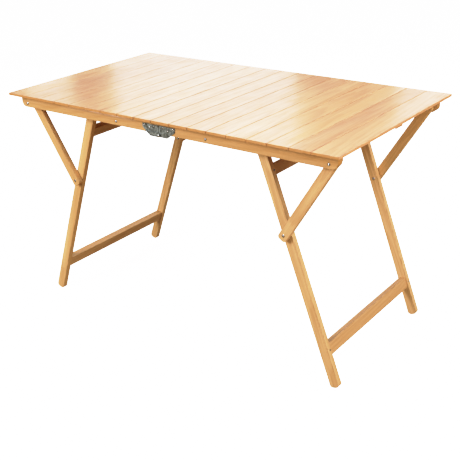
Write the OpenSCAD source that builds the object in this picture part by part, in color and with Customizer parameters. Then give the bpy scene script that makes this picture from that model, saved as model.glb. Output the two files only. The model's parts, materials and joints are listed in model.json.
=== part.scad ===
// Folding slatted table in hardwood, with two leg frames that fold flat under a top hinged in the middle.
// Millimetres. The origin is on the floor under the middle of the top, +X along the table and +Z up.

/* [Top] */
// Length of the open top
top_length = 1250; // [1230:10:1400]
// Width of the top
top_width = 700; // [600:10:800]
// Height of the top's upper face above the floor
top_height = 750; // [735:5:765]
// Slats in each half of the top
slats_per_half = 9; // [6:1:9]
// Thickness of a slat
slat_thickness = 8; // [6:0.5:10]
// Gap between two slats
slat_gap = 1.5; // [0.5:0.5:4]
// Width of the slat at each end of the table
end_slat_width = 80; // [60:5:100]
// Gap between the two halves of the top
seam_gap = 1; // [0.6:0.2:3]

/* [Rails and batten] */
// Height of a side rail
rail_height = 42; // [40:1:44]
// Thickness of a side rail
rail_thickness = 25; // [20:1:25]
// Distance from the top's long edge to the rail
rail_inset = 34; // [10:2:60]
// Distance from the end of the top to the end of the rail
rail_end_inset = 22; // [10:1:28]
// Radius of the rail's lower outer corner
rail_corner = 18; // [5:1:20]
// Width of the flat batten under the middle of the slats
batten_width = 38; // [25:1:60]
// Thickness of that batten
batten_thickness = 8; // [5:1:9]
// Distance from the end of the top to the end of the batten
batten_end_inset = 5; // [0:1:40]

/* [Legs and braces] */
// Width of a leg seen from the long side
leg_width = 30; // [26:1:30]
// Thickness of a leg
leg_thickness = 18; // [14:1:22]
// Lean of the legs from the vertical, in degrees
leg_lean = 20; // [18:0.5:22]
// Width of a brace
brace_width = 30; // [26:1:30]
// Thickness of a brace
brace_thickness = 17; // [16:1:18]
// Radius of the corners at the ends of the legs and braces
bar_corner = 10; // [4:1:12]
// Height of an upper crossbar, measured along the leg
upper_crossbar_height = 31; // [28:1:40]
// Height of a lower crossbar, measured along the leg
lower_crossbar_height = 37; // [28:1:45]
// Thickness of a crossbar
crossbar_thickness = 22; // [16:1:24]
// Distance from the leg's pivot up to the middle of the upper crossbar
upper_crossbar_rise = 185; // [150:1:200]
// Distance from the foot up to the middle of the lower crossbar
lower_crossbar_rise = 117; // [60:1:200]

/* [Pivots] */
// Distance from the end of the top to the brace's pivot on the rail
brace_pivot_inset = 48; // [46:1:52]
// Depth of the rail's pivots below the top's upper face
rail_pivot_drop = 38; // [36:0.5:38]
// Distance from the end of the top to the pivot between brace and leg
leg_pivot_inset = 207; // [203:1:212]
// Depth of that pivot below the top's upper face
leg_pivot_drop = 290; // [284:1:294]
// Distance from the end of the top to the link's pivot on the rail
link_pivot_inset = 451; // [447:1:455]
// Width of a steel link
link_width = 22; // [16:1:24]
// Depth of the folding hinge's axis below the top's upper face
hinge_drop = 55; // [54:0.5:58]

/* [Fasteners] */
// Radius of a pivot rivet
rivet_radius = 3; // [2.5:0.5:4]
// Radius of a rivet's domed head
rivet_head_radius = 5; // [4.5:0.5:6]
// Radial clearance in a pivot hole
fit = 0.06; // [0.03:0.01:0.1]

/* [Hidden] */
$fn = 48;
wood = "#dcae74";
wood_dark = "#c08a4a";
steel = "#b9bcc0";
zinc = "#6f7478";

ENDS = ["left", "right"];
SIDES = ["front", "back"];
half_length = top_length / 2;
half_width = top_width / 2;
rail_top_drop = slat_thickness;
rail_bottom_drop = rail_top_drop + rail_height;
slat_run = half_length - seam_gap / 2 - end_slat_width - (slats_per_half - 1) * slat_gap;
slat_width = slat_run / (slats_per_half - 1);

// Layers, each given by its depth inward from the long edge of the top
pivot_gap = 2;
rail_inner = rail_inset + rail_thickness;
brace_depth = rail_inner + pivot_gap;
brace_inner = brace_depth + brace_thickness;
leg_depth = brace_inner + pivot_gap;
leg_inner = leg_depth + leg_thickness;
link_thickness = 3;
// The links of the two ends lie in layers of their own, so that they pass each other
link_depths = [rail_inner + 3, rail_inner + 8];

// Pivots in the left half, as [x, z]
brace_pivot = [-half_length + brace_pivot_inset, top_height - rail_pivot_drop];
leg_pivot = [-half_length + leg_pivot_inset, top_height - leg_pivot_drop];
link_pivot = [-half_length + link_pivot_inset, top_height - rail_pivot_drop];
hinge_pivot = [0, top_height - hinge_drop];

// The leg's upper pivot is where the link reaches it, with the legs open and with all the bars in one line
leg_axis = [sin(leg_lean), cos(leg_lean)];
brace_length = norm(leg_pivot - brace_pivot);
pivot_span = link_pivot - leg_pivot;
folded_reach = link_pivot[0] - brace_pivot[0] - brace_length;
leg_upper = (pivot_span * pivot_span - folded_reach * folded_reach)
    / (2 * (pivot_span * leg_axis - folded_reach));
upper_pivot = leg_pivot + leg_upper * leg_axis;
link_length = norm(upper_pivot - link_pivot);

// The foot is rounded, and it touches the floor on the corner nearer the middle of the table
foot_corner_offset = leg_width / 2 - bar_corner;
leg_lower = bar_corner
    + (leg_pivot[1] - bar_corner - foot_corner_offset * sin(leg_lean)) / cos(leg_lean);
leg_overhang = leg_width / 2;
brace_overhang = 17;

// Each crossbar as [place along the leg from its pivot, height]
upper_crossbar = [upper_crossbar_rise, upper_crossbar_height];
lower_crossbar = [lower_crossbar_rise - leg_lower, lower_crossbar_height];
CROSSBARS = [upper_crossbar, lower_crossbar];

// Tenons of the crossbars and the screws across them
tenon_length = 12;
tenon_shoulder = 7;
tenon_thickness = 10;
tenon_screw_depth = leg_inner - tenon_length / 2;
tenon_screw_length = leg_width / 2 + tenon_thickness / 2 + 2;
screw_radius = 1.7;
screw_head_radius = 2.9;
screw_slack = 0.05;

// Hinge leaves: outline and screws as [distance from the seam, depth below the top]
leaf_thickness = 2;
leaf_lap = 0.3;
leaf_length = 62.5;
leaf_top_drop = 24;
leaf_shoulder_drop = 37;
leaf_bottom_drop = hinge_drop + 4.5;
leaf_bottom_length = 32;
leaf_start = seam_gap / 2 + 0.3;
// The left leaf's lower band is pressed outward, to lap over the right leaf at the pin
band_drop = hinge_drop - 9.5;
band_wall = 2;
ear_radius = 4.6;
hinge_pin_radius = 2.5;
hinge_head_radius = 4;
hinge_tail_radius = 3.5;
leaf_screws = [[55, 29], [35, 36], [18, 29]];
leaf_screw_length = 14;

leaf_names = [for (end = ENDS, side = SIDES) str("hinge_leaf_", side, "_", end)];

function link_depth(end) = link_depths[end == "left" ? 0 : 1];

// Everything is drawn in the front left quarter and mirrored from there
module at_end(end) {
    mirror([end == "right" ? 1 : 0, 0, 0]) children();
}

module at_side(side) {
    mirror([0, side == "back" ? 1 : 0, 0]) children();
}

// A flat outline in X and Z, made solid inward from the given depth
module sheet(depth, thickness) {
    translate([0, depth + thickness - half_width, 0])
        rotate([90, 0, 0])
            linear_extrude(thickness) children();
}

// A round pin along Y between two depths
module pin(radius, from, to) {
    translate([0, to - half_width, 0])
        rotate([90, 0, 0])
            cylinder(r = radius, h = to - from);
}

// A domed head that stands out from the given depth, toward the long edge or, if inward, to the middle
module dome(radius, height, depth, inward = false) {
    ball = (radius * radius + height * height) / (2 * height);
    translate([0, depth - half_width, 0])
        rotate([inward ? -90 : 90, 0, 0])
            rotate_extrude()
                intersection() {
                    translate([0, height - ball]) circle(ball, $fn = 96);
                    square([radius, height]);
                }
}

module at(point) {
    translate([point[0], 0, point[1]]) children();
}

// The leg's own frame: +X runs up the leg from the pivot and +Z faces the end of the table
module in_leg() {
    at(leg_pivot) rotate([0, leg_lean - 90, 0]) children();
}

module rounded_bar(from, to, width, corner) {
    translate([from + corner, -width / 2]) square([to - from - 2 * corner, width]);
    translate([from, -width / 2 + corner]) square([to - from, width - 2 * corner]);
    for (x = [from + corner, to - corner], y = [corner - width / 2, width / 2 - corner])
        translate([x, y]) circle(corner);
}

module slat(i) {
    first = i == slats_per_half;
    width = first ? end_slat_width : slat_width;
    start = seam_gap / 2 + (i - 1) * (slat_width + slat_gap);
    color(wood)
        translate([-start - width, -half_width, top_height - slat_thickness])
            cube([width, top_width, slat_thickness]);
}

module rail_outline() {
    right = -seam_gap / 2;
    left = rail_end_inset - half_length;
    top = top_height - rail_top_drop;
    bottom = top_height - rail_bottom_drop;
    translate([left + rail_corner, bottom]) square([right - left - rail_corner, rail_height]);
    translate([left, bottom + rail_corner]) square([rail_corner * 2, rail_height - rail_corner]);
    translate([left + rail_corner, bottom + rail_corner]) circle(rail_corner);
}

module rail() {
    color(wood)
        difference() {
            sheet(rail_inset, rail_thickness)
                difference() {
                    rail_outline();
                    translate(brace_pivot) circle(rivet_radius + fit);
                    translate(link_pivot) circle(rivet_radius + fit);
                }
            for (hole = leaf_screws)
                at([-hole[0], top_height - hole[1]])
                    pin(screw_radius + screw_slack, rail_inset - 1, rail_inset + leaf_screw_length + 1);
        }
}

module batten() {
    left = batten_end_inset - half_length;
    color(wood)
        translate([left, -batten_width / 2, top_height - slat_thickness - batten_thickness])
            cube([-left - seam_gap / 2, batten_width, batten_thickness]);
}

// Outline of a hinge leaf between two depths below the top
module leaf_outline(from, to) {
    intersection() {
        polygon([
            [-leaf_start, top_height - leaf_top_drop],
            [-leaf_length, top_height - leaf_top_drop],
            [-leaf_length, top_height - leaf_shoulder_drop],
            [-leaf_bottom_length, top_height - leaf_bottom_drop],
            [-leaf_start, top_height - leaf_bottom_drop]
        ]);
        translate([-leaf_length, top_height - to]) square([leaf_length, to - from]);
    }
}

module leaf_holes() {
    for (hole = leaf_screws)
        translate([-hole[0], top_height - hole[1]]) circle(screw_radius + screw_slack);
    translate(hinge_pivot) circle(hinge_pin_radius + fit);
}

// The right leaf lies flat on the rail, ear and all
module flat_leaf() {
    color(zinc)
        sheet(rail_inset - leaf_thickness, leaf_thickness)
            difference() {
                union() {
                    leaf_outline(leaf_top_drop, leaf_bottom_drop);
                    translate(hinge_pivot) circle(ear_radius);
                }
                leaf_holes();
            }
}

// The left leaf is flat above and steps out to a band with a round end, which covers the right leaf's ear
module banded_leaf() {
    band_depth = rail_inset - 2 * leaf_thickness - leaf_lap;
    band_radius = (leaf_bottom_drop - band_drop) / 2;
    color(zinc) {
        sheet(rail_inset - leaf_thickness, leaf_thickness)
            difference() {
                leaf_outline(leaf_top_drop, band_drop + band_wall);
                leaf_holes();
            }
        sheet(band_depth, leaf_thickness)
            difference() {
                union() {
                    leaf_outline(band_drop, leaf_bottom_drop);
                    translate([-leaf_start, top_height - band_drop - band_radius]) circle(band_radius);
                }
                leaf_holes();
            }
        sheet(band_depth, leaf_thickness * 2 + leaf_lap) leaf_outline(band_drop, band_drop + band_wall);
    }
}

module hinge_screws() {
    color(steel)
        for (side = SIDES, hole = leaf_screws)
            at_side(side) at([-hole[0], top_height - hole[1]]) {
                pin(screw_radius, rail_inset - leaf_thickness, rail_inset + leaf_screw_length);
                dome(screw_head_radius, 1.4, rail_inset - leaf_thickness);
            }
}

module hinge_pins() {
    front = rail_inset - 2 * leaf_thickness - leaf_lap;
    back = rail_inset + leaf_lap;
    color(steel)
        for (side = SIDES)
            at_side(side) at(hinge_pivot) {
                pin(hinge_pin_radius, front, back);
                pin(hinge_tail_radius, back, back + 1);
                dome(hinge_head_radius, 1.6, front);
            }
}

module leg() {
    color(wood)
        in_leg()
            difference() {
                sheet(leg_depth, leg_thickness)
                    difference() {
                        rounded_bar(-leg_lower, leg_upper + leg_overhang, leg_width, bar_corner);
                        circle(rivet_radius + fit);
                        translate([leg_upper, 0]) circle(rivet_radius + fit);
                    }
                for (bar = CROSSBARS) {
                    translate([bar[0], leg_inner - tenon_length / 2 - half_width, 0])
                        cube([tenon_height(bar), tenon_length, tenon_thickness], center = true);
                    tenon_screw_hole(bar[0]);
                }
            }
}

module tenon_screw_hole(x) {
    translate([x, tenon_screw_depth - half_width, leg_width / 2 - tenon_screw_length - 1])
        cylinder(r = screw_radius + screw_slack, h = tenon_screw_length + 2);
}

function tenon_height(bar) = bar[1] - 2 * tenon_shoulder;

module crossbar(bar) {
    x = bar[0];
    height = bar[1];
    shoulder = half_width - leg_inner;
    tenons = 2 * (shoulder + tenon_length);
    color(wood_dark)
        in_leg()
            difference() {
                union() {
                    translate([x - height / 2, -shoulder, -crossbar_thickness / 2])
                        cube([height, 2 * shoulder, crossbar_thickness]);
                    translate([x, 0, 0])
                        cube([tenon_height(bar), tenons, tenon_thickness], center = true);
                }
                for (side = SIDES)
                    at_side(side) tenon_screw_hole(x);
            }
}

module crossbar_screws() {
    color(steel)
        for (side = SIDES, bar = CROSSBARS)
            at_side(side) in_leg()
                translate([bar[0], tenon_screw_depth - half_width, leg_width / 2]) {
                    translate([0, 0, -tenon_screw_length])
                        cylinder(r = screw_radius, h = tenon_screw_length);
                    cylinder(r = screw_head_radius, h = 1);
                }
}

module brace() {
    aim = leg_pivot - brace_pivot;
    color(wood)
        at(brace_pivot)
            rotate([0, -atan2(aim[1], aim[0]), 0])
                sheet(brace_depth, brace_thickness)
                    difference() {
                        rounded_bar(-brace_overhang, brace_length + brace_overhang, brace_width, bar_corner);
                        circle(rivet_radius + fit);
                        translate([brace_length, 0]) circle(rivet_radius + fit);
                    }
}

module link(depth) {
    aim = upper_pivot - link_pivot;
    color(zinc)
        at(link_pivot)
            rotate([0, -atan2(aim[1], aim[0]), 0])
                sheet(depth, link_thickness)
                    difference() {
                        union() {
                            translate([0, -link_width / 2]) square([link_length, link_width]);
                            circle(link_width / 2);
                            translate([link_length, 0]) circle(link_width / 2);
                        }
                        circle(rivet_radius + fit);
                        translate([link_length, 0]) circle(rivet_radius + fit);
                    }
}

// Rivets through the rail: one carries the brace and one the link, each closed by a thin tail
module rail_rivets(link_at) {
    tail = 1.2;
    head = 2.5;
    color(steel)
        for (side = SIDES)
            at_side(side) {
                at(brace_pivot) {
                    pin(rivet_radius, rail_inset, brace_inner);
                    pin(rivet_head_radius, brace_inner, brace_inner + tail);
                    dome(rivet_head_radius, head, rail_inset);
                }
                at(link_pivot) {
                    pin(rivet_radius, rail_inset, link_at + link_thickness);
                    pin(rivet_head_radius, link_at + link_thickness, link_at + link_thickness + tail);
                    dome(rivet_head_radius, head, rail_inset);
                }
            }
}

// A ring around a rivet that keeps two bars apart
module spacer(from, to) {
    sheet(from, to - from)
        difference() {
            circle(link_width / 2 - 4);
            circle(rivet_radius + fit);
        }
}

module rail_spacers(link_at) {
    color(steel)
        for (side = SIDES)
            at_side(side) {
                at(brace_pivot) spacer(rail_inner, brace_depth - 0.1);
                at(link_pivot) spacer(rail_inner, link_at - 0.1);
            }
}

// Rivets that join brace and leg, with a low head in the gap behind the rail and a dome inside
module leg_rivets() {
    low_head = 1.4;
    color(steel)
        for (side = SIDES)
            at_side(side) at(leg_pivot) {
                pin(rivet_radius, brace_depth, leg_inner);
                dome(rivet_head_radius, low_head, brace_depth);
                dome(rivet_head_radius, 2.5, leg_inner, inward = true);
            }
}

module leg_washers() {
    color(steel)
        for (side = SIDES)
            at_side(side) at(leg_pivot) spacer(brace_inner + 0.1, leg_depth);
}

// Pins in the top of the legs, which stop short of both link layers
module link_pins() {
    tip = max(link_depths) + link_thickness + 2;
    color(steel)
        for (side = SIDES)
            at_side(side) at(upper_pivot) {
                pin(rivet_radius, tip, leg_inner);
                dome(rivet_head_radius, 2.5, leg_inner, inward = true);
            }
}

for (end = ENDS) {
    depth = link_depth(end);
    for (i = [1:slats_per_half])
        at_end(end) slat(i);
    at_end(end) batten();
    at_end(end) hinge_screws();
    at_end(end) crossbar(upper_crossbar);
    at_end(end) crossbar(lower_crossbar);
    at_end(end) crossbar_screws();
    at_end(end) rail_rivets(depth);
    at_end(end) rail_spacers(depth);
    at_end(end) leg_rivets();
    at_end(end) leg_washers();
    at_end(end) link_pins();
    for (side = SIDES) {
        at_end(end) at_side(side) rail();
        at_end(end) at_side(side) leg();
        at_end(end) at_side(side) brace();
        at_end(end) at_side(side) link(depth);
    }
}
for (side = SIDES) {
    at_side(side) banded_leaf();
    at_end("right") at_side(side) flat_leaf();
}
hinge_pins();
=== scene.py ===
"""Looks of the folding slatted table: lacquered wood, dull zinc, bright steel, floor, light and camera."""

import json
import math
import random

import bpy
from mathutils import Euler, Matrix, Vector

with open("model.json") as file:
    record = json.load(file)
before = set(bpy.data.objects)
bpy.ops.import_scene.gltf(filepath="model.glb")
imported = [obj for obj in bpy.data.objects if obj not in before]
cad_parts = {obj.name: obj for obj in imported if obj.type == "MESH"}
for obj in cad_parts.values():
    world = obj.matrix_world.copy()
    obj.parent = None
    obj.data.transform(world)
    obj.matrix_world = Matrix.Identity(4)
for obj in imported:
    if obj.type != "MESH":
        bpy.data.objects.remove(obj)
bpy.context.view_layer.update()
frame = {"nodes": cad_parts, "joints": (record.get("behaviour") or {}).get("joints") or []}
NODES = frame["nodes"]

MM = 0.001
ENDS = ("left", "right")
SIDES = ("front", "back")
SLATS_PER_HALF = 9
LEG_LEAN = math.radians(20)

# Colours are linear RGB. Lacquered wood has a pale, a middle and a dark tone; the slats are redder
SLAT_TONES = (0.82, 0.48, 0.27, 1), (0.72, 0.385, 0.18, 1), (0.44, 0.185, 0.06, 1)
FRAME_TONES = (0.76, 0.51, 0.26, 1), (0.66, 0.405, 0.18, 1), (0.38, 0.195, 0.062, 1)
END_GRAIN = (0.42, 0.205, 0.05, 1)
# Grime colour, also used as painted shade in the gaps between slats, along their edges and seams
GRIME_AND_GAP_SHADE = (0.16, 0.075, 0.025, 1)
ZINC_PALE = (0.41, 0.465, 0.465, 1)
ZINC_DARK = (0.042, 0.052, 0.054, 1)
WHITE_RUST = (0.62, 0.62, 0.60, 1)
BRIGHT_STEEL = (0.47, 0.48, 0.50, 1)
DULL_STEEL = (0.16, 0.16, 0.165, 1)
WOOD_IOR = 1.5
LACQUER_ROUGHNESS = 0.16
PLAIN_SPECULAR = 0.5

# The floor's colour to the table, its own light to the camera, and the background's and the sky's strengths
FLOOR_SIZE = 60
FLOOR_BOUNCE = (0.30, 0.21, 0.11, 1)
FLOOR_LIFT = 1.4
BACKDROP = 2.6
SKY_LOW, SKY_HIGH = 0.12, 0.85
SKY_RISE = 0.20
PANEL_DISTANCE = 4.0

# Tone curve: light in the scene, and the light it is shown as
WHITE_POINT = 2.5
TONES = ((0.08, 0.06), (0.35, 0.33), (0.85, 0.80), (1.25, 0.92))

CAMERA_PLACE = (1.608, -2.097, 1.447)
CAMERA_DEGREES = (65.97, 1.79, 36.51)
CAMERA_LENS = 65.9
SENSOR_WIDTH = 36


class Graph:
    """A material's node tree, with a short call for each kind of node used here."""

    def __init__(self, name):
        self.material = bpy.data.materials.new(name)
        self.material.use_nodes = True
        self.tree = self.material.node_tree
        self.shader = self.tree.nodes["Principled BSDF"]

    def feed(self, socket, value):
        if isinstance(value, bpy.types.NodeSocket):
            self.tree.links.new(value, socket)
        elif isinstance(value, (tuple, list)) and len(value) < len(socket.default_value):
            socket.default_value = (*value, 1.0)
        else:
            socket.default_value = value

    def node(self, kind, inputs=(), **settings):
        made = self.tree.nodes.new(kind)
        for name, value in settings.items():
            setattr(made, name, value)
        for index, value in enumerate(inputs):
            if value is not None:
                self.feed(made.inputs[index], value)
        return made

    def maths(self, operation, a, b=None, c=None, clamp=False):
        return self.node("ShaderNodeMath", (a, b, c), operation=operation, use_clamp=clamp).outputs[0]

    def vector(self, operation, a, b=None):
        return self.node("ShaderNodeVectorMath", (a, b), operation=operation).outputs[0]

    def split(self, value):
        return self.node("ShaderNodeSeparateXYZ", (value,)).outputs

    def noise(self, place, scale, detail=2.0, roughness=0.5):
        """Noise with its own number of waves per metre along each axis."""
        made = self.node("ShaderNodeTexNoise")
        self.feed(made.inputs["Vector"], self.vector("MULTIPLY", place, scale))
        self.feed(made.inputs["Scale"], 1.0)
        self.feed(made.inputs["Detail"], detail)
        self.feed(made.inputs["Roughness"], roughness)
        return made.outputs["Fac"]

    def cell_grey(self, place, scale):
        """A random value for each cell of a crystalline pattern."""
        made = self.node("ShaderNodeTexVoronoi")
        self.feed(made.inputs["Vector"], self.vector("MULTIPLY", place, scale))
        self.feed(made.inputs["Scale"], 1.0)
        return self.node("ShaderNodeSeparateColor", (made.outputs["Color"],)).outputs[0]

    def span(self, value, low, high, to_low=0.0, to_high=1.0):
        return self.node(
            "ShaderNodeMapRange", (value, low, high, to_low, to_high), interpolation_type="SMOOTHSTEP"
        ).outputs[0]

    def blend(self, share, a, b):
        made = self.node("ShaderNodeMix", data_type="RGBA")
        self.feed(made.inputs["Factor"], share)
        self.feed(made.inputs[6], a)
        self.feed(made.inputs[7], b)
        return made.outputs[2]

    def cover(self, body, mask, share, colour):
        """Lays a colour over the body where the mask is, at the given share."""
        return self.blend(self.maths("MULTIPLY", mask, share), body, colour)

    def turned(self, value, turn, kind="POINT"):
        made = self.node("ShaderNodeMapping", (value,), vector_type=kind)
        made.inputs["Rotation"].default_value = turn.to_euler()
        return made.outputs[0]

    def amount(self, name):
        """A piece's own number."""
        return self.property(name).outputs["Fac"]

    def place(self, name):
        """A piece's own vector."""
        return self.property(name).outputs["Vector"]

    def property(self, name):
        return self.node("ShaderNodeAttribute", attribute_type="OBJECT", attribute_name=name)

    def relief(self, height, *sockets):
        """Raises the surface by a height in metres, on the shader's normal sockets named."""
        made = self.node("ShaderNodeBump")
        self.feed(made.inputs["Distance"], 1.0)
        self.feed(made.inputs["Height"], height)
        for socket in sockets:
            self.feed(self.shader.inputs[socket], made.outputs[0])

    def finish(self, **inputs):
        for name, value in inputs.items():
            self.feed(self.shader.inputs[name.replace("_", " ")], value)
        return self.material


def axes_of(grain, width):
    """Rotation that lays a piece's grain along X, its width along Y and its thickness along Z."""
    a = Vector(grain).normalized()
    b = Vector(width).normalized()
    return Matrix((a, b, a.cross(b)))


def edge_distance(g, local):
    """Distance along the surface to the nearest long edge: the middle one of the three to the sides."""
    x, y, z = g.split(g.vector("SUBTRACT", g.place("half"), g.vector("ABSOLUTE", local)))
    low = g.maths("MINIMUM", x, y)
    high = g.maths("MAXIMUM", x, y)
    return g.maths("MAXIMUM", low, g.maths("MINIMUM", high, z))


def late_wood(g, place):
    """Growth rings around a pith outside the board, bent by slow noise along the grain."""
    wander = g.maths("MULTIPLY_ADD", g.noise(place, (0.9, 6.0, 6.0), detail=1.0), 0.036, -0.018)
    x, y, z = g.split(place)
    depth = g.maths("ADD", z, g.maths("MULTIPLY_ADD", x, 0.02, wander))
    across = g.node("ShaderNodeCombineXYZ", (0.0, y, depth)).outputs[0]
    radius = g.node("ShaderNodeVectorMath", (across,), operation="LENGTH").outputs["Value"]
    ripple = g.noise(place, (1.5, 60.0, 60.0))
    ring = g.maths("FRACT", g.maths("MULTIPLY_ADD", radius, 240.0, g.maths("MULTIPLY", ripple, 1.4)))
    return g.maths("MULTIPLY", g.span(ring, 0.25, 0.90), g.span(ring, 1.0, 0.93))


def grain_colour(g, place, tones, painted_shade, late, fibre, fleck, band):
    """Slow patches of two tones with rings, bands, fibres, short flecks and a few streaks of the third,
    then painted shade that blends the whole piece toward the third.
    """
    pale, middle, dark = tones
    patch = g.noise(place, (0.8, 22.0, 22.0), detail=3.0)
    streak = g.span(g.noise(place, (2.4, 85.0, 85.0)), 0.62, 0.78)
    body = g.blend(g.span(patch, 0.30, 0.72), middle, pale)
    body = g.cover(body, late, 0.26, dark)
    body = g.blend(g.span(band, 0.45, 0.75, 0.0, 0.32), body, dark)
    body = g.blend(g.span(fibre, 0.35, 0.75, 0.0, 0.26), body, dark)
    body = g.cover(body, fleck, 0.30, dark)
    body = g.cover(body, streak, 0.22, dark)
    # Painted shade: the whole piece is blended toward the dark tone, for pieces that lie in shade
    body = g.blend(painted_shade, body, dark)
    tone = g.amount("tone")
    shade = g.node("ShaderNodeHueSaturation", (None, None, None, None, body))
    g.feed(shade.inputs["Value"], g.maths("MULTIPLY_ADD", tone, 0.15, 0.93))
    g.feed(shade.inputs["Hue"], g.maths("MULTIPLY_ADD", tone, 0.005, 0.497))
    return shade.outputs[0]


def seam_shade_mask(g, side):
    """Where a slat's long edges, at which slats meet, get painted shade for the gaps between slats and are
    matt.
    """
    _, half_side, _ = g.split(g.place("half"))
    to_seam = g.maths("SUBTRACT", half_side, g.maths("ABSOLUTE", side))
    return g.maths("MULTIPLY", g.span(to_seam, 2.0 * MM, 0.7 * MM), g.amount("seam"))


def board_lie(g, place, side):
    """Height of the whole face: boards are slightly cupped and wavy and don't lie quite level."""
    tilt, cup, _ = g.split(g.place("lie"))
    cupped = g.maths("MULTIPLY", g.maths("MULTIPLY", side, side), cup)
    lie = g.maths("ADD", g.maths("MULTIPLY", side, tilt), cupped)
    return g.maths("MULTIPLY_ADD", g.noise(place, (3.0, 16.0, 16.0), detail=1.0), 0.25 * MM, lie)


def wood(name, turn, tones, gloss, coat, painted_shade=0.0, seams=False):
    g = Graph(name)
    coords = g.node("ShaderNodeTexCoord")
    local = g.vector("SUBTRACT", g.turned(coords.outputs["Object"], turn), g.place("centre"))
    place = g.vector("ADD", local, g.place("shift"))
    _, side, _ = g.split(local)

    late = late_wood(g, place)
    fibre = g.noise(place, (9.0, 520.0, 520.0), detail=3.0, roughness=0.6)
    fleck = g.span(g.noise(place, (110.0, 900.0, 900.0), detail=1.0), 0.60, 0.74)
    band = g.noise(place, (1.6, 190.0, 190.0))
    body = grain_colour(g, place, tones, painted_shade, late, fibre, fleck, band)

    # End grain is darker
    along, _, _ = g.split(g.turned(coords.outputs["Normal"], turn, kind="VECTOR"))
    end = g.span(g.maths("ABSOLUTE", along), 0.5, 0.9)
    body = g.cover(body, end, 0.75, END_GRAIN)

    # Rubbed edges: the lacquer is thin and pale there, with grime beside it that also stands as painted
    # shade in the gaps between slats
    edge = edge_distance(g, local)
    scuff = g.noise(place, (35.0, 120.0, 120.0), detail=3.0)
    rubbed = g.maths("MULTIPLY", g.span(edge, 2.2 * MM, 0.4 * MM), g.span(scuff, 0.42, 0.62))
    grime_and_gap_shade = g.maths("MULTIPLY", g.span(edge, 3.5 * MM, 0.8 * MM), g.span(scuff, 0.66, 0.40))
    body = g.cover(body, rubbed, 0.25, tones[0])
    body = g.cover(body, grime_and_gap_shade, 0.30, GRIME_AND_GAP_SHADE)

    shine = {"Specular_IOR_Level": PLAIN_SPECULAR, "Coat_Weight": coat}
    if seams:
        seam = seam_shade_mask(g, side)
        clean = g.maths("MULTIPLY_ADD", seam, -0.70, 1.0)
        # Painted shade: the slats' long edges are darkened where the gaps between slats are in shade
        body = g.cover(body, seam, 0.60, GRIME_AND_GAP_SHADE)
        shine = {socket: g.maths("MULTIPLY", clean, value) for socket, value in shine.items()}

    worn = g.noise(place, (14.0, 22.0, 22.0), detail=3.0)
    rough = g.maths("ADD", g.span(worn, 0.3, 0.75, gloss, gloss + 0.14), g.maths("MULTIPLY", end, 0.2))
    rough = g.maths("MULTIPLY_ADD", rubbed, 0.15, rough, clamp=True)
    g.finish(Base_Color=body, Roughness=rough, IOR=WOOD_IOR, Coat_Roughness=LACQUER_ROUGHNESS, **shine)

    # Rings, bands and fibres stand up a little, and flecks are pores
    height = g.maths("MULTIPLY_ADD", late, 0.03 * MM, g.maths("MULTIPLY", fibre, 0.045 * MM))
    height = g.maths("MULTIPLY_ADD", band, 0.05 * MM, height)
    height = g.maths("MULTIPLY_ADD", fleck, -0.03 * MM, height)
    g.relief(g.maths("ADD", board_lie(g, place, side), height), "Normal", "Coat Normal")
    return g.material


def galvanised():
    """Hot-dipped zinc gone dull: spangles of uneven greys, white rust and fine scratches."""
    g = Graph("dull_zinc")
    place = g.node("ShaderNodeTexCoord").outputs["Object"]
    grey = g.cell_grey(place, (230.0, 230.0, 230.0))
    blotch = g.noise(place, (75.0, 75.0, 75.0), detail=4.0, roughness=0.65)
    speck = g.span(g.noise(place, (420.0, 420.0, 420.0), detail=3.0), 0.60, 0.72)
    scratch = g.span(g.noise(place, (60.0, 900.0, 1400.0)), 0.62, 0.70)
    mottle = g.maths("MULTIPLY_ADD", grey, 0.45, g.span(blotch, 0.3, 0.7, 0.0, 0.55))
    body = g.blend(mottle, ZINC_DARK, ZINC_PALE)
    body = g.cover(body, speck, 0.45, WHITE_RUST)
    body = g.cover(body, scratch, 0.35, BRIGHT_STEEL)
    rough = g.maths("MULTIPLY_ADD", grey, 0.18, g.span(blotch, 0.3, 0.7, 0.34, 0.56))
    g.finish(Base_Color=body, Metallic=0.85, Roughness=rough)
    g.relief(g.maths("MULTIPLY", g.maths("ADD", blotch, grey), 0.10 * MM), "Normal")
    return g.material


def bright_steel():
    """Plated rivets and screws with fine scratches and dull spots."""
    g = Graph("bright_steel")
    place = g.node("ShaderNodeTexCoord").outputs["Object"]
    scratch = g.noise(place, (900.0, 2600.0, 900.0), detail=3.0, roughness=0.7)
    spot = g.span(g.noise(place, (330.0, 330.0, 330.0), detail=3.0), 0.52, 0.70)
    body = g.cover(BRIGHT_STEEL, spot, 0.6, DULL_STEEL)
    rough = g.maths("ADD", g.span(scratch, 0.3, 0.7, 0.16, 0.32), g.maths("MULTIPLY", spot, 0.22))
    g.finish(Base_Color=body, Metallic=1.0, Roughness=rough)
    g.relief(g.maths("MULTIPLY", scratch, 0.03 * MM), "Normal")
    return g.material


def pivot(joint):
    return Vector(next(j["pos_m"] for j in frame["joints"] if j["name"] == joint))


def describe(piece, turn, cupped=False):
    """Gives a piece's own place, size and lie to its material, with a seeded draw of grain and tone."""
    draw = random.Random(piece.name)
    points = [turn @ v.co for v in piece.data.vertices]
    low = Vector(min(p[i] for p in points) for i in range(3))
    high = Vector(max(p[i] for p in points) for i in range(3))
    piece["centre"] = list((low + high) / 2)
    piece["half"] = list((high - low) / 2)
    piece["shift"] = [draw.uniform(0, 9), draw.uniform(-0.03, 0.03), draw.uniform(0.05, 0.14)]
    piece["tone"] = draw.uniform(0, 1)
    tilt = draw.uniform(-1, 1) * 0.006 if cupped else 0.0
    piece["lie"] = [tilt, draw.uniform(-0.10, 0.14) if cupped else 0.0, 0.0]


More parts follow.
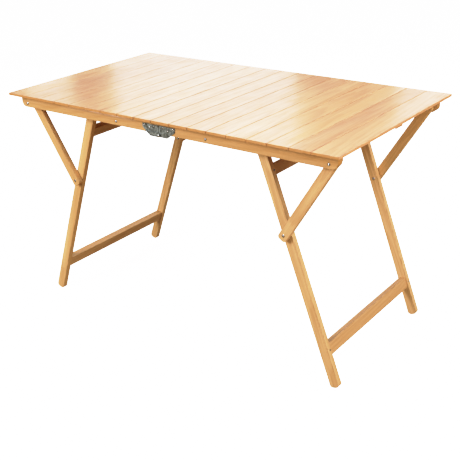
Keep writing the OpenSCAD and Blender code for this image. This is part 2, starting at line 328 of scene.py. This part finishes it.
def seam_gap_shade(name):
    """How much painted shade a slat's long edges get: less from the fold outward, and not at all on the end
    slat.
    """
    number = int(name.split("_")[2])
    nearness = 1.0 - (number - 1) / (SLATS_PER_HALF - 1)
    return nearness * random.Random(name + "_seam").uniform(0.10, 0.90)


def round_edges(piece, width, segments=2):
    """Rounds a node's sharp edges by modifiers alone, after joining its split vertices and triangles."""
    weld = piece.modifiers.new("weld", "WELD")
    weld.merge_threshold = 0.01 * MM
    flat = piece.modifiers.new("flat", "DECIMATE")
    flat.decimate_type = "DISSOLVE"
    flat.angle_limit = math.radians(0.5)
    bevel = piece.modifiers.new("bevel", "BEVEL")
    bevel.width = width
    bevel.segments = segments
    bevel.limit_method = "ANGLE"
    bevel.angle_limit = math.radians(40)
    bevel.harden_normals = True


def paint(piece, material):
    for slot in piece.material_slots:
        slot.material = material


def dress(names, material, turn, cupped=False, bevel=1.0 * MM):
    for name in names:
        describe(NODES[name], turn, cupped)
        paint(NODES[name], material)
        round_edges(NODES[name], bevel)


def dress_top():
    along_y = axes_of((0, 1, 0), (1, 0, 0))
    along_x = axes_of((1, 0, 0), (0, 0, 1))
    slat_wood = wood("slat_wood", along_y, SLAT_TONES, gloss=0.30, coat=0.55, seams=True)
    # Painted shade: the rails and battens are darkened toward the dark tone, for the shade under the top's
    # overhang
    rail_wood = wood("rail_wood", along_x, FRAME_TONES, gloss=0.40, coat=0.25, painted_shade=0.28)
    for end in ENDS:
        slats = [f"slat_{end}_{number + 1}" for number in range(SLATS_PER_HALF)]
        dress(slats, slat_wood, along_y, cupped=True, bevel=0.8 * MM)
        for name in slats:
            NODES[name]["seam"] = seam_gap_shade(name)
        rails = [f"rail_{side}_{end}" for side in SIDES]
        dress([*rails, "batten_" + end], rail_wood, along_x)


def dress_leg_frame(end):
    toward = 1 if end == "left" else -1
    leg = Vector((toward * math.sin(LEG_LEAN), 0, math.cos(LEG_LEAN)))
    brace = pivot("leg_swing_" + end) - pivot("brace_swing_" + end)
    # Painted shade: the crossbars, low under the table, are darkened toward the dark tone
    bars = (
        ("leg", SIDES, axes_of(leg, leg.cross(Vector((0, 1, 0)))), 0.0),
        ("brace", SIDES, axes_of(brace, brace.cross(Vector((0, 1, 0)))), 0.0),
        ("crossbar", ("upper", "lower"), axes_of((0, 1, 0), leg), 0.30),
    )
    for kind, places, turn, painted_shade in bars:
        material = wood(f"{kind}_wood_{end}", turn, FRAME_TONES, gloss=0.42, coat=0.20, painted_shade=painted_shade)
        dress([f"{kind}_{place}_{end}" for place in places], material, turn)


def dress_metal():
    zinc = galvanised()
    steel = bright_steel()
    for name, piece in NODES.items():
        if name.startswith("hinge_leaf"):
            paint(piece, zinc)
            round_edges(piece, 0.7 * MM, segments=3)
        elif name.startswith(("link_front", "link_back")):
            paint(piece, zinc)
            round_edges(piece, 0.5 * MM)
        elif any(word in name for word in ("screws", "pins", "rivets", "spacers", "washers")):
            paint(piece, steel)


def floor():
    """A plain pale floor. It is paler to the camera than to the table, so that undersides stay in shade."""
    bpy.ops.mesh.primitive_plane_add(size=FLOOR_SIZE)
    plane = bpy.context.object
    plane.name = "floor"
    g = Graph("pale_floor")
    place = g.node("ShaderNodeTexCoord").outputs["Object"]
    cloud = g.noise(place, (1.5, 1.5, 1.5), detail=3.0)
    seen = g.node("ShaderNodeLightPath").outputs["Is Camera Ray"]
    pale = g.blend(g.span(cloud, 0.3, 0.7), (0.88, 0.88, 0.88, 1), (0.91, 0.91, 0.91, 1))
    g.finish(
        Base_Color=g.blend(seen, FLOOR_BOUNCE, pale),
        Roughness=0.9,
        Specular_IOR_Level=0.0,
        Emission_Color=(1, 1, 1, 1),
        Emission_Strength=g.maths("MULTIPLY", seen, FLOOR_LIFT),
    )
    plane.data.materials.append(g.material)


def lamp(name, place, aim, size, watts, colour=(1, 1, 1)):
    data = bpy.data.lights.new(name, "AREA")
    data.shape = "RECTANGLE"
    data.size, data.size_y = size
    data.energy = watts
    data.color = colour
    made = bpy.data.objects.new(name, data)
    bpy.context.scene.collection.objects.link(made)
    made.location = place
    made.rotation_euler = (Vector(aim) - Vector(place)).to_track_quat("-Z", "Y").to_euler()
    made.visible_camera = False


def panel(name, bearing, width, low, high, radiance):
    """A low softbox behind the table that shines in the lacquer; bearings turn from +Y toward -X."""
    angle = math.radians(bearing)
    middle = (low + high) / 2
    place = (-PANEL_DISTANCE * math.sin(angle), PANEL_DISTANCE * math.cos(angle), middle)
    watts = radiance * math.pi * width * (high - low)
    lamp(name, place, (0, 0, middle), (width, high - low), watts)


def sky():
    """Soft light from above, dim near the horizon; the camera itself sees plain white."""
    world = bpy.data.worlds.new("studio")
    world.use_nodes = True
    tree = world.node_tree
    background = tree.nodes["Background"]
    background.inputs["Color"].default_value = (1, 1, 1, 1)
    place = tree.nodes.new("ShaderNodeTexCoord")
    split = tree.nodes.new("ShaderNodeSeparateXYZ")
    rise = tree.nodes.new("ShaderNodeMapRange")
    rise.interpolation_type = "SMOOTHSTEP"
    rise.inputs["From Min"].default_value = SKY_RISE
    rise.inputs["To Min"].default_value = SKY_LOW
    rise.inputs["To Max"].default_value = SKY_HIGH
    path = tree.nodes.new("ShaderNodeLightPath")
    seen = tree.nodes.new("ShaderNodeMix")
    seen.inputs["B"].default_value = BACKDROP
    tree.links.new(place.outputs["Generated"], split.inputs[0])
    tree.links.new(split.outputs["Z"], rise.inputs["Value"])
    tree.links.new(path.outputs["Is Camera Ray"], seen.inputs["Factor"])
    tree.links.new(rise.outputs[0], seen.inputs["A"])
    tree.links.new(seen.outputs[0], background.inputs["Strength"])
    bpy.context.scene.world = world


def studio():
    sky()
    lamp("key", (-0.9, -3.2, 2.1), (0, 0, 0.6), (1.3, 1.3), 122, (1.0, 0.98, 0.95))
    lamp("fill", (2.9, -0.7, 2.2), (0.3, 0, 0.5), (1.4, 1.4), 95, (1.0, 0.97, 0.92))
    lamp("back", (1.8, 2.8, 2.8), (0, 0, 0.6), (1.6, 1.6), 45)
    panel("panel_main", 39.5, 1.46, 1.2, 2.8, 1.95)
    panel("panel_left", 57.0, 0.35, 1.2, 2.2, 1.6)
    panel("panel_right", 13.0, 0.65, 1.2, 2.6, 1.7)
    panel("panel_high", 22.0, 1.0, 2.3, 3.3, 0.8)


def print_tones():
    """A photographic print's tones: shadows a little deeper, and highlights that roll off before white."""
    view = bpy.context.scene.view_settings
    view.view_transform = "Standard"
    view.use_curve_mapping = True
    mapping = view.curve_mapping
    mapping.white_level = (WHITE_POINT, WHITE_POINT, WHITE_POINT)
    curve = mapping.curves[3]
    for scene_light, shown in TONES:
        curve.points.new(scene_light / WHITE_POINT, shown)
    mapping.update()


def camera():
    data = bpy.data.cameras.new("camera")
    data.lens = CAMERA_LENS
    data.sensor_width = SENSOR_WIDTH
    made = bpy.data.objects.new("camera", data)
    bpy.context.scene.collection.objects.link(made)
    made.location = CAMERA_PLACE
    made.rotation_euler = Euler([math.radians(a) for a in CAMERA_DEGREES])
    bpy.context.scene.camera = made


dress_top()
for end in ENDS:
    dress_leg_frame(end)
dress_metal()
floor()
studio()
camera()
print_tones()
